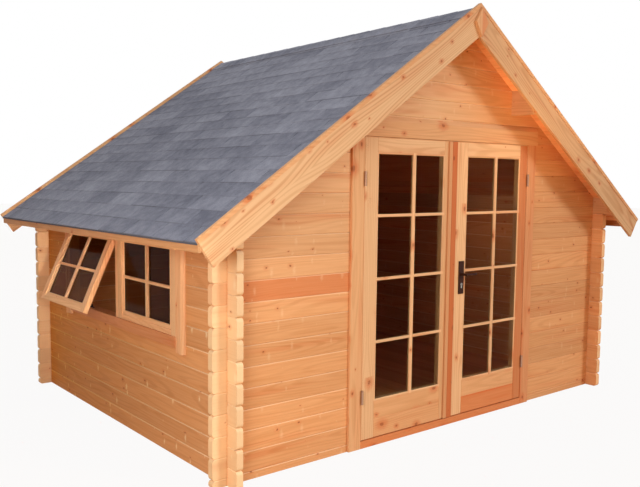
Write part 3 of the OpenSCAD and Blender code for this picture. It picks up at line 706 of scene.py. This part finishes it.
class CABIN_OT_shingles(bpy.types.Operator):
    """Lays the shingle tabs on both roof sides, in staggered courses"""

    bl_idname = "cabin.shingles"
    bl_label = "Roof Shingles"

    def execute(self, context):
        sizes = context.scene.cabin_sizes
        low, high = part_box("left_roof_shingles")
        slope = -low.x / math.cos(sizes.pitch)
        pairs = math.ceil(slope / sizes.exposure / 2)
        across = math.ceil((high.y - low.y) / sizes.tab_width) + 2
        start = math.floor(low.y / sizes.tab_width) * sizes.tab_width
        gap, ridge_gap, butt = sizes.tab_gap / 2, 4 * MM, 2 * MM
        crest = butt + sizes.tab_thick / 2
        for side, word in ((-1, "left"), (1, "right")):
            tab = block(
                (0, start + gap, 0),
                (1.5 * sizes.exposure, start + sizes.tab_width - gap, sizes.tab_thick),
            )
            nudge(tab, "FACE", lambda middle: middle.x < CLOSE, (0, 0, butt))
            chamfer(tab, lambda middle: middle.x < CLOSE and middle.z > crest, 1.2 * MM, 1)
            repeat(tab, across, (0, sizes.tab_width, 0))
            join([tab, copy_of(tab, (sizes.exposure, -sizes.tab_width / 2, 0))])
            repeat(tab, pairs, (2 * sizes.exposure, 0, 0))
            cut_off(tab, (slope - ridge_gap, 0, 0), (1, 0, 0))
            cut_off(tab, (0, high.y - EDGE, 0), (0, 1, 0))
            cut_off(tab, (0, low.y + EDGE, 0), (0, -1, 0))
            lay_on_roof(tab, side)
            coat(word + "_shingle", tab)
            gather([tab], word + "_roof_tabs", "cabin", "roof_shingle")
            dress("bitumen_felt", word + "_roof_shingles")
        return {"FINISHED"}


class CABIN_OT_ridge(bpy.types.Operator):
    """Bends the ridge caps over the ridge, each lapping the next"""

    bl_idname = "cabin.ridge"
    bl_label = "Ridge Caps"

    def execute(self, context):
        sizes = context.scene.cabin_sizes
        low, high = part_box("ridge_cap")
        wide, thick = high.x, sizes.tab_thick
        step, lap, butt = 0.16, 1.45, 3.5 * MM
        cap = block((-wide, low.y + EDGE, 0), (wide, low.y + lap * step, thick))
        pick(cap, "FACE", everywhere)
        bpy.ops.mesh.bisect(plane_co=(0, 0, 0), plane_no=(1, 0, 0))
        close_edit()
        drop = wide * math.tan(sizes.pitch)
        nudge(cap, "EDGE", lambda middle: abs(middle.x) > wide - CLOSE, (0, 0, -drop))
        chamfer(cap, lambda middle: abs(middle.x) < CLOSE and middle.z > thick / 2, 6 * MM, 3)
        nudge(cap, "FACE", lambda middle: middle.y < low.y + EDGE + CLOSE, (0, 0, butt))
        repeat(cap, math.ceil((high.y - low.y) / step), (0, step, 0))
        cut_off(cap, (0, high.y - EDGE, 0), (0, 1, 0))
        cap.location.z = high.z - EDGE
        settle(cap)
        coat("left_shingle", cap)
        gather([cap], "ridge_tabs", "cabin", "roof_shingle", "ridge_cap")
        return {"FINISHED"}


class CABIN_OT_roof_boards(bpy.types.Operator):
    """Lays the roof boards under the shingles, with open joints below"""

    bl_idname = "cabin.roof_boards"
    bl_label = "Roof Boards"

    def execute(self, context):
        sizes = context.scene.cabin_sizes
        low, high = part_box("left_roof_deck")
        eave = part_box("left_roof_shingles")[0].x
        rise, cosine = math.tan(sizes.pitch), math.cos(sizes.pitch)
        first, slope = (low.x - eave) / cosine, -eave / cosine
        cover, thick = 6.3 * MM, 19 * MM
        for side, word in ((-1, "left"), (1, "right")):
            plank = block((0, low.y, -cover - thick), (sizes.roof_board, high.y, -cover))
            chamfer(plank, lambda middle: middle.z < -cover - thick + CLOSE, 3 * MM, 1)
            repeat(plank, math.ceil(slope / sizes.roof_board), (sizes.roof_board, 0, 0))
            cut_off(plank, (slope, 0, 0), (1, 0, rise))
            cut_off(plank, (first, 0, -cover), (-1, 0, -rise))
            lay_on_roof(plank, side)
            coat(word + "_deck_pine", plank)
            gather([plank], word + "_roof_boards", "cabin", "planed_pine", word + "_roof_deck")
        return {"FINISHED"}


class CABIN_OT_floor(bpy.types.Operator):
    """Lays the floor boards side by side"""

    bl_idname = "cabin.floor"
    bl_label = "Floor Boards"

    def execute(self, context):
        wide = context.scene.cabin_sizes.floor_board
        low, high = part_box("floor_boards")
        start = math.floor(low.x / wide) * wide
        plank = block((start, low.y, low.z), (start + wide, high.y, high.z))
        chamfer(plank, lambda middle: middle.z > high.z - CLOSE, 2 * MM, 1)
        repeat(plank, math.ceil((high.x - start) / wide), (wide, 0, 0))
        cut_off(plank, (high.x, 0, 0), (1, 0, 0))
        cut_off(plank, (low.x, 0, 0), (-1, 0, 0))
        coat("floor_board_pine", plank)
        gather([plank], "floor_planks", "cabin", "floor_pine", "floor_boards")
        dress("floor_board_pine", "floor_bearers")
        return {"FINISHED"}


class CABIN_OT_door_frame(bpy.types.Operator):
    """Gives the door's frame, threshold, strips and lintel board their pine"""

    bl_idname = "cabin.door_frame"
    bl_label = "Door Frame"

    def execute(self, context):
        dress("upright_pine", "door_frame", "door_cover_strips")
        dress("red_rail_pine", "door_threshold")
        dress("rail_pine", "door_lintel_board")
        return {"FINISHED"}


def glass_beads(lo, hi, front, depth, wide, woods, draw):
    """Mitred beads round a glass opening in the XZ plane, outside it, with a rounded inner edge."""
    upright, level = woods
    sides = (
        ((lo.x - wide, lo.z - wide), (lo.x, hi.z + wide), X, upright),
        ((hi.x, lo.z - wide), (hi.x + wide, hi.z + wide), -X, upright),
        ((lo.x - wide, lo.z - wide), (hi.x + wide, lo.z), Z, level),
        ((lo.x - wide, hi.z), (hi.x + wide, hi.z + wide), -Z, level),
    )
    corners = [Vector((x, 0, z)) for x in (lo.x, hi.x) for z in (lo.z, hi.z)]
    made = []
    for (x0, z0), (x1, z1), inward, wood in sides:
        strip = block((x0, front, z0), (x1, front + depth, z1))
        inner = (Vector((x0, 0, z0)) + Vector((x1, 0, z1))) / 2 + inward * wide / 2
        chamfer(
            strip,
            lambda middle: abs((middle - inner).dot(inward)) < NEAR and middle.y < front + NEAR,
            4.5 * MM,
            3,
        )
        # Mitres at the two corners that this bead reaches
        for corner in corners:
            aside = corner - inner
            if abs(aside.dot(inward)) <= wide:
                cut_off(strip, corner, (aside - aside.dot(inward) * inward).normalized() + inward)
        made.append(grained(strip, wood, draw.random()))
    return made


def glazing_bars(lo, hi, levels, front, back, pane, woods, draw, over):
    """An upright bar and level bars on both faces of a glass, with rounded outer edges."""
    sizes = bpy.context.scene.cabin_sizes
    half, rise = sizes.bar / 2, sizes.level_bar / 2
    upright, level_wood = woods
    middle = lo.x + BAR_SHARE * (hi.x - lo.x)
    made = []
    for near, far, run in ((front, pane[0].y, over), (back, pane[1].y, 0)):
        spans = [((middle - half, lo.z - run), (middle + half, hi.z + run), upright, X * half)]
        for level in levels:
            for x0, x1 in ((lo.x - run, middle - half), (middle + half, hi.x + run)):
                spans.append(((x0, level - rise), (x1, level + rise), level_wood, Z * rise))
        for (x0, z0), (x1, z1), wood, reach in spans:
            bar = block((x0, min(near, far), z0), (x1, max(near, far), z1))
            centre = Vector(((x0 + x1) / 2, 0, (z0 + z1) / 2))
            chamfer(
                bar,
                lambda point: abs(abs((point - centre).dot(reach)) - reach.length_squared) < 0.001 * MM
                and abs(point.y - near) < NEAR,
                3 * MM,
            )
            made.append(grained(bar, wood, draw.random()))
    return made


def glazed_frame(outer, glass, levels, woods, draw, wide, sunk, over):
    """Stiles, top rail and foot boards round a glass, with beads and glazing bars, facing -Y."""
    (lo, hi), (g0, g1) = outer, glass
    g0, g1 = g0 - Vector((SEAT, 0, SEAT)), g1 + Vector((SEAT, 0, SEAT))
    x0, x1 = g0.x - wide, g1.x + wide
    z0, z1 = g0.z - wide, g1.z + wide
    left, right, rail, feet = woods
    made = [
        board(lo, (x0, hi.y, hi.z), left, draw.random()),
        board((x1, lo.y, lo.z), hi, right, draw.random()),
        board((x0, lo.y, z1), (x1, hi.y, hi.z), rail, draw.random()),
    ]
    for i, wood in enumerate(feet):
        foot, head = [lo.z + (z0 - lo.z) * k / len(feet) for k in (i, i + 1)]
        made.append(board((x0, lo.y, foot), (x1, hi.y, head), wood, draw.random(), 2.4 * MM))
    made += glass_beads(g0, g1, lo.y + sunk, hi.y - lo.y - sunk - 1 * MM, wide, (left, rail), draw)
    front = lo.y - 1.5 * MM if over else lo.y + 2 * MM
    back = glass[1].y + 8 * MM
    made += glazing_bars(g0, g1, levels, front, back, glass, (left, rail), draw, over)
    return made


class CABIN_OT_door_leaves(bpy.types.Operator):
    """Joins each door leaf from stiles, rails, foot boards, beads and glazing bars"""

    bl_idname = "cabin.door_leaves"
    bl_label = "Door Leaves"

    def execute(self, context):
        draw = random.Random(context.scene.cabin_stage.seed)
        bead = context.scene.cabin_sizes.bead
        for word in ("left", "right"):
            leaf, glass = word + "_door_leaf", word + "_door_glass"
            lo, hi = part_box(leaf)
            right, foot = "red_upright_pine", "red_rail_pine"
            if word == "left":
                right, foot = "upright_pine", "rail_pine"
            woods = ("leaf_pine", right, "top_rail_pine", (foot, "rail_pine"))
            parts = glazed_frame((lo, hi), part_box(glass), BAR_LEVELS, woods, draw, bead, 1 * MM, 12 * MM)
            # A thin lip on the face narrows the gap beside the hinges and above the leaf
            back, side, top = lo.y + 8 * MM, 2.6 * MM, hi.z + 4.5 * MM
            x0, x1 = (lo.x - side, lo.x) if word == "left" else (hi.x, hi.x + side)
            parts.append(board((x0, lo.y, lo.z), (x1, back, hi.z), "upright_pine", 0.3, 0.5 * MM))
            parts.append(board((lo.x, lo.y, hi.z), (hi.x, back, top), "rail_pine", 0.6, 1 * MM))
            gather(parts, word + "_leaf_joinery", word + "_leaf", "planed_pine", leaf)
            dress("float_glass", glass)
        # The strip over the meeting edges is a pale board and a red one, side by side
        lo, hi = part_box("meeting_strip")
        seam = lo.x + 0.4 * (hi.x - lo.x)
        pale = board(lo, (seam, hi.y, hi.z), "upright_pine", draw.random(), 2 * MM)
        red = board((seam, lo.y, lo.z), hi, "strip_pine", draw.random(), 2 * MM)
        gather([pale, red], "meeting_strip_boards", "left_leaf", "red_pine", "meeting_strip")
        return {"FINISHED"}


def screw(place, radius):
    """A countersunk screw head facing -Y with a sunk middle."""
    made = rod(place, radius, 1.6 * MM, 12)
    front = min(v.co.y for v in made.data.vertices)
    chamfer(made, lambda middle: middle.y < front + NEAR, 0.5 * MM, 1)
    pick(made, "FACE", lambda middle: middle.y < front + NEAR)
    bpy.ops.mesh.inset(thickness=radius * 0.45, depth=-0.7 * MM)
    close_edit()
    coat("dark_bronze", made)
    return made


class CABIN_OT_door_fittings(bpy.types.Operator):
    """Makes the lever, the lock cylinder and the screws of the handle plate"""

    bl_idname = "cabin.door_fittings"
    bl_label = "Door Fittings"

    def execute(self, context):
        dress("dull_zinc", "frame_hinges", "left_leaf_hinges", "right_leaf_hinges")
        dress("dark_bronze", "handle_plate")
        self.lever()
        self.lock()
        return {"FINISHED"}

    def lever(self):
        """A round neck with a bar that swells and droops a little towards its rounded end"""
        low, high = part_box("lever_handle")
        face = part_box("handle_plate")[0].y
        height = (low.z + high.z) / 2
        centre, out = low.x + 9 * MM, low.y + 9 * MM
        neck = rod((centre, (low.y + high.y) / 2, height), 8.6 * MM, high.y - low.y - 2 * MM, 24)
        chamfer(neck, lambda middle: middle.y < low.y + 1.5 * MM, 2.5 * MM, 3)
        rose_depth = 5 * MM
        rose = rod((centre, face - rose_depth / 2, height), 14 * MM, rose_depth, 24)
        chamfer(rose, lambda middle: middle.y < face - rose_depth + NEAR, 2 * MM)
        half, end = 7 * MM, centre + 30 * MM
        grip = block((centre, out - half, height - half), (end, out + half, height + half))
        for reach, drop, grow in ((30, 0.0, 1.0), (28, -0.8, 1.04), (22, -1.2, 0.96)):
            pick(grip, "FACE", lambda middle, end=end: middle.x > end - NEAR)
            move = {"value": (reach * MM, 0, drop * MM)}
            bpy.ops.mesh.extrude_region_move(TRANSFORM_OT_translate=move)
            bpy.ops.transform.resize(value=(1, grow, grow))
            close_edit()
            end += reach * MM
        rounded = grip.modifiers.new("rounded", "SUBSURF")
        rounded.levels = rounded.render_levels = 2
        bpy.context.view_layer.objects.active = grip
        bpy.ops.object.modifier_apply(modifier=rounded.name)
        coat("dark_bronze", neck, rose, grip)
        gather([neck, rose, grip], "lever_grip", "lever", "dark_metal", "lever_handle")
        bpy.ops.object.shade_smooth_by_angle(angle=math.radians(40))

    def lock(self):
        """A lock cylinder with a key slot, and two screws on the handle plate"""
        low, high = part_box("handle_plate")
        centre = (low.x + high.x) / 2
        place = Vector((centre, low.y - 1 * MM, low.z + 62 * MM))
        front, back = place.y - 3 * MM, place.y + 3 * MM
        barrel = rod(place, 8.5 * MM, back - front, 20)
        chamfer(barrel, lambda middle: middle.y < front + NEAR, 1 * MM)
        tail = block((centre - 5 * MM, front, place.z - 24 * MM), (centre + 5 * MM, back, place.z))
        chamfer(tail, everywhere, 1 * MM, 1)
        coat("bright_zinc", barrel, tail)
        slot = block(
            (centre - 1 * MM, front - 0.4 * MM, place.z - 4 * MM),
            (centre + 1 * MM, front + 1 * MM, place.z + 5 * MM),
        )
        chamfer(slot, everywhere, 0.3 * MM, 1)
        coat("dark_bronze", slot)
        levels = (low.z + 14 * MM, high.z - 14 * MM)
        heads = [screw((centre, low.y - 0.4 * MM, level), 4 * MM) for level in levels]
        gather([barrel, tail, slot, *heads], "lock_and_screws", "right_leaf", "zinc_steel")


class CABIN_OT_window(bpy.types.Operator):
    """Joins the window sashes, one shut and one open, and dresses the window's frame"""

    bl_idname = "cabin.window"
    bl_label = "Window"

    def execute(self, context):
        draw = random.Random(context.scene.cabin_stage.seed + 1)
        dress("upright_side_pine", "window_frame", "window_cover_strips")
        dress("red_side_pine", "window_sill")
        dress("window_float_glass", "window_glass")
        low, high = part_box("right_window_sash")
        stile, rail, pane = 76 * MM, 57 * MM, 4 * MM
        thick = high.x - low.x
        middle, half = (low.y + high.y) / 2, (high.y - low.y) / 2
        # A sash is made facing -Y round X = 0 and then turned to face -X
        outer = (Vector((-half, 0, low.z)), Vector((half, thick, high.z)))
        glass = (
            Vector((-half + stile + SEAT, (thick - pane) / 2, low.z + rail + SEAT)),
            Vector((half - stile - SEAT, (thick + pane) / 2, high.z - rail - SEAT)),
        )
        level = (glass[0].z + glass[1].z) / 2
        woods = ("upright_side_pine", "upright_side_pine", "side_rail_pine", ("side_rail_pine",))
        for word, move in (("right", middle), ("left", -middle)):
            made = join(glazed_frame(outer, glass, (level,), woods, draw, 24 * MM, 6 * MM, 0))
            made.rotation_euler = (0, 0, -math.pi / 2)
            made.location = (low.x, move, 0)
            settle(made)
            if word == "left":
                hinge = Vector((low.x, 0, high.z))
                swing = Matrix.Translation(hinge + Z * SASH_LIFT) @ Matrix.Rotation(SASH_ANGLE, 4, "Y")
                made.matrix_world = swing @ Matrix.Translation(-hinge)
                settle(made)
            gather([made], word + "_sash_joinery", "cabin", "planed_pine", word + "_window_sash")
        self.stay()
        return {"FINISHED"}

    def stay(self):
        """A casement stay lying on the sill: an arm with a knob end and its peg"""
        low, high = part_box("casement_stay")
        arm = block(low, (high.x, high.y, low.z + 6 * MM))
        chamfer(arm, everywhere, 1.2 * MM, 1)
        place = ((low.x + high.x) / 2, low.y + (high.y - low.y) / 3, (low.z + high.z) / 2)
        peg = rod(place, 5 * MM, high.z - low.z, 16, (0, 0, 0))
        chamfer(peg, lambda middle: middle.z > high.z - NEAR, 2 * MM)
        knob = block((low.x - 1 * MM, high.y - 16 * MM, low.z), (high.x + 1 * MM, high.y, low.z + 13 * MM))
        chamfer(knob, lambda middle: middle.z > low.z + CLOSE, 3 * MM, 3)
        coat("black_iron", arm, peg, knob)
        gather([arm, peg, knob], "stay_arm", "cabin", "dark_metal", "casement_stay")


class CABIN_OT_stage(bpy.types.Operator):
    """Sets the floor, the soft light and the camera"""

    bl_idname = "cabin.stage"
    bl_label = "Stage"

    def execute(self, context):
        self.floor(context)
        self.light(context)
        self.camera(context)
        return {"FINISHED"}

    def floor(self, context):
        """A wide pale floor, near white to the camera, that keeps the cabin's shadow"""
        deselect()
        bpy.ops.mesh.primitive_plane_add(size=90, location=(0, 0, -0.5 * MM))
        ground = context.object
        ground.name = "studio_floor"
        w = Weave(bpy.data.materials.new("studio_floor"))
        paint = w.node("BsdfDiffuse", (*context.scene.cabin_colours.floor, 1))
        glow = w.node("Emission", (1, 1, 1, 1), 1.0)
        share = w.times(self.seen(w), 0.94)
        w.node("OutputMaterial", w.node("MixShader", share, paint, glow))
        ground.data.materials.append(w.owner)

    def seen(self, w):
        """One for rays that show the background: straight, mirrored or through glass, with no matt bounce"""
        rays = w.node("LightPath").node.outputs
        shown = w.larger(rays["Is Camera Ray"], rays["Is Glossy Ray"])
        shown = w.larger(shown, rays["Is Transmission Ray"])
        return w.less(shown, rays["Diffuse Depth"], clamp=True)

    def lamp(self, name, power, place, target, size, tint, spread=180):
        """A soft rectangular lamp that lights but isn't seen"""
        bpy.ops.object.light_add(type="AREA", location=place)
        made = bpy.context.object
        made.name = name
        made.visible_camera = False
        made.data.energy = power
        made.data.shape = "RECTANGLE"
        made.data.size, made.data.size_y = size
        made.data.color = tint
        made.data.spread = math.radians(spread)
        made.rotation_euler = (Vector(target) - Vector(place)).to_track_quat("-Z", "Y").to_euler()

    def light(self, context):
        """A soft key light from the front right, five soft lamps and light from all sides. The front and
        bounce lamps are warm, like the light that ground and timber send up under the roof."""
        stage = context.scene.cabin_stage
        deselect()
        bpy.ops.object.light_add(type="SUN", location=(3, -5, 4))
        key = context.object
        key.name = "key_light"
        key.data.energy = stage.sun
        key.data.angle = math.radians(14)
        key.data.color = (0.88, 1, 1.08)
        key.rotation_euler = Vector((-0.120, 0.190, -0.101)).to_track_quat("-Z", "Y").to_euler()
        # Each lamp: its place, target, size, colour and, where it is narrow, its spread in degrees
        lamps = {
            "fill": ((-3.9, -2.9, 1.6), (-1.5, -1.0, 1.2), (1.2, 1.2), (1, 1, 1)),
            "front": ((0.2, -5.4, 0.9), (0.4, -1.3, 2.1), (2.4, 0.8), (1, 0.62, 0.33)),
            "bounce": ((0.15, -2.3, 0.7), (0.85, -1.35, 2.5), (0.6, 0.4), (1, 0.63, 0.3), 60),
            "corner": ((-2.6, -3.2, 1.3), (-1.8, 1.24, 0.9), (0.3, 0.3), (1, 0.9, 0.8), 20),
            "room": ((0.7, -0.3, 1.9), (1.67, -0.55, 0.95), (0.4, 0.4), (1, 0.6, 0.45), 80),
        }
        for word, values in lamps.items():
            self.lamp(word + "_light", getattr(stage, word), *values)
        context.scene.world = bpy.data.worlds.new("studio")
        w = Weave(context.scene.world)
        height = w.parts(w.node("TexCoord", out="Generated"))[2]
        sky = w.ramp(height, 0.0, 1.0, stage.sky_low, stage.sky_high)
        seen = self.seen(w)
        level = w.node("Mix", seen, None, sky, 1.0)
        white = w.larger(w.ramp(height, 0.0, 0.5, 0.0, 1.0), seen)
        hue = w.blend(white, (1, 0.7, 0.38), (1, 1, 1))
        w.node("OutputWorld", w.node("Background", hue, level))
        context.scene.view_settings.view_transform = "Standard"

    def camera(self, context):
        """The camera at the picture's viewing angle, with a small shift for its framing"""
        deselect()
        yaw, tilt, roll = math.radians(37.886), math.radians(-5.1275), math.radians(0.4738)
        bpy.ops.object.camera_add()
        made = context.object
        made.name = "camera"
        turn = Matrix.Rotation(-yaw, 4, "Z") @ Matrix.Rotation(math.pi / 2 + tilt, 4, "X")
        turn = turn @ Matrix.Rotation(roll, 4, "Z")
        made.matrix_world = Matrix.Translation((-3.7858, -4.4976, 1.5871)) @ turn
        made.data.lens = context.scene.cabin_stage.lens
        made.data.sensor_width = 36
        made.data.shift_x = 0.0419
        made.data.shift_y = 0.0084
        made.data.clip_end = 200
        context.scene.camera = made


GROUPS = {"cabin_sizes": CabinSizes, "cabin_colours": CabinColours, "cabin_stage": CabinStage}
MAKERS = (
    CABIN_OT_walls, CABIN_OT_bargeboards, CABIN_OT_shingles, CABIN_OT_ridge,
    CABIN_OT_roof_boards, CABIN_OT_floor, CABIN_OT_door_frame, CABIN_OT_door_leaves,
    CABIN_OT_door_fittings, CABIN_OT_window, CABIN_OT_stage,
)


class CABIN_PT_looks(bpy.types.Panel):
    """Lists the cabin's pieces and their sizes and colours"""

    bl_idname = "CABIN_PT_looks"
    bl_label = "Log Cabin"
    bl_space_type = "VIEW_3D"
    bl_region_type = "UI"
    bl_category = "Log Cabin"

    def draw(self, context):
        for maker in MAKERS:
            self.layout.operator(maker.bl_idname)
        for name, group in GROUPS.items():
            for value in group.__annotations__:
                self.layout.prop(getattr(context.scene, name), value)


CLASSES = (*GROUPS.values(), *MAKERS, CABIN_PT_looks)


def register():
    """Registers the classes and hangs their values on the scene."""
    for made in CLASSES:
        bpy.utils.register_class(made)
    for name, group in GROUPS.items():
        setattr(bpy.types.Scene, name, PointerProperty(type=group))


def unregister():
    """Takes the classes and values away again."""
    for name in GROUPS:
        delattr(bpy.types.Scene, name)
    for made in reversed(CLASSES):
        bpy.utils.unregister_class(made)


def main():
    """Makes every piece in order."""
    register()
    for maker in MAKERS:
        group, action = maker.bl_idname.split(".")
        getattr(getattr(bpy.ops, group), action)()


if __name__ == "__main__":
    main()
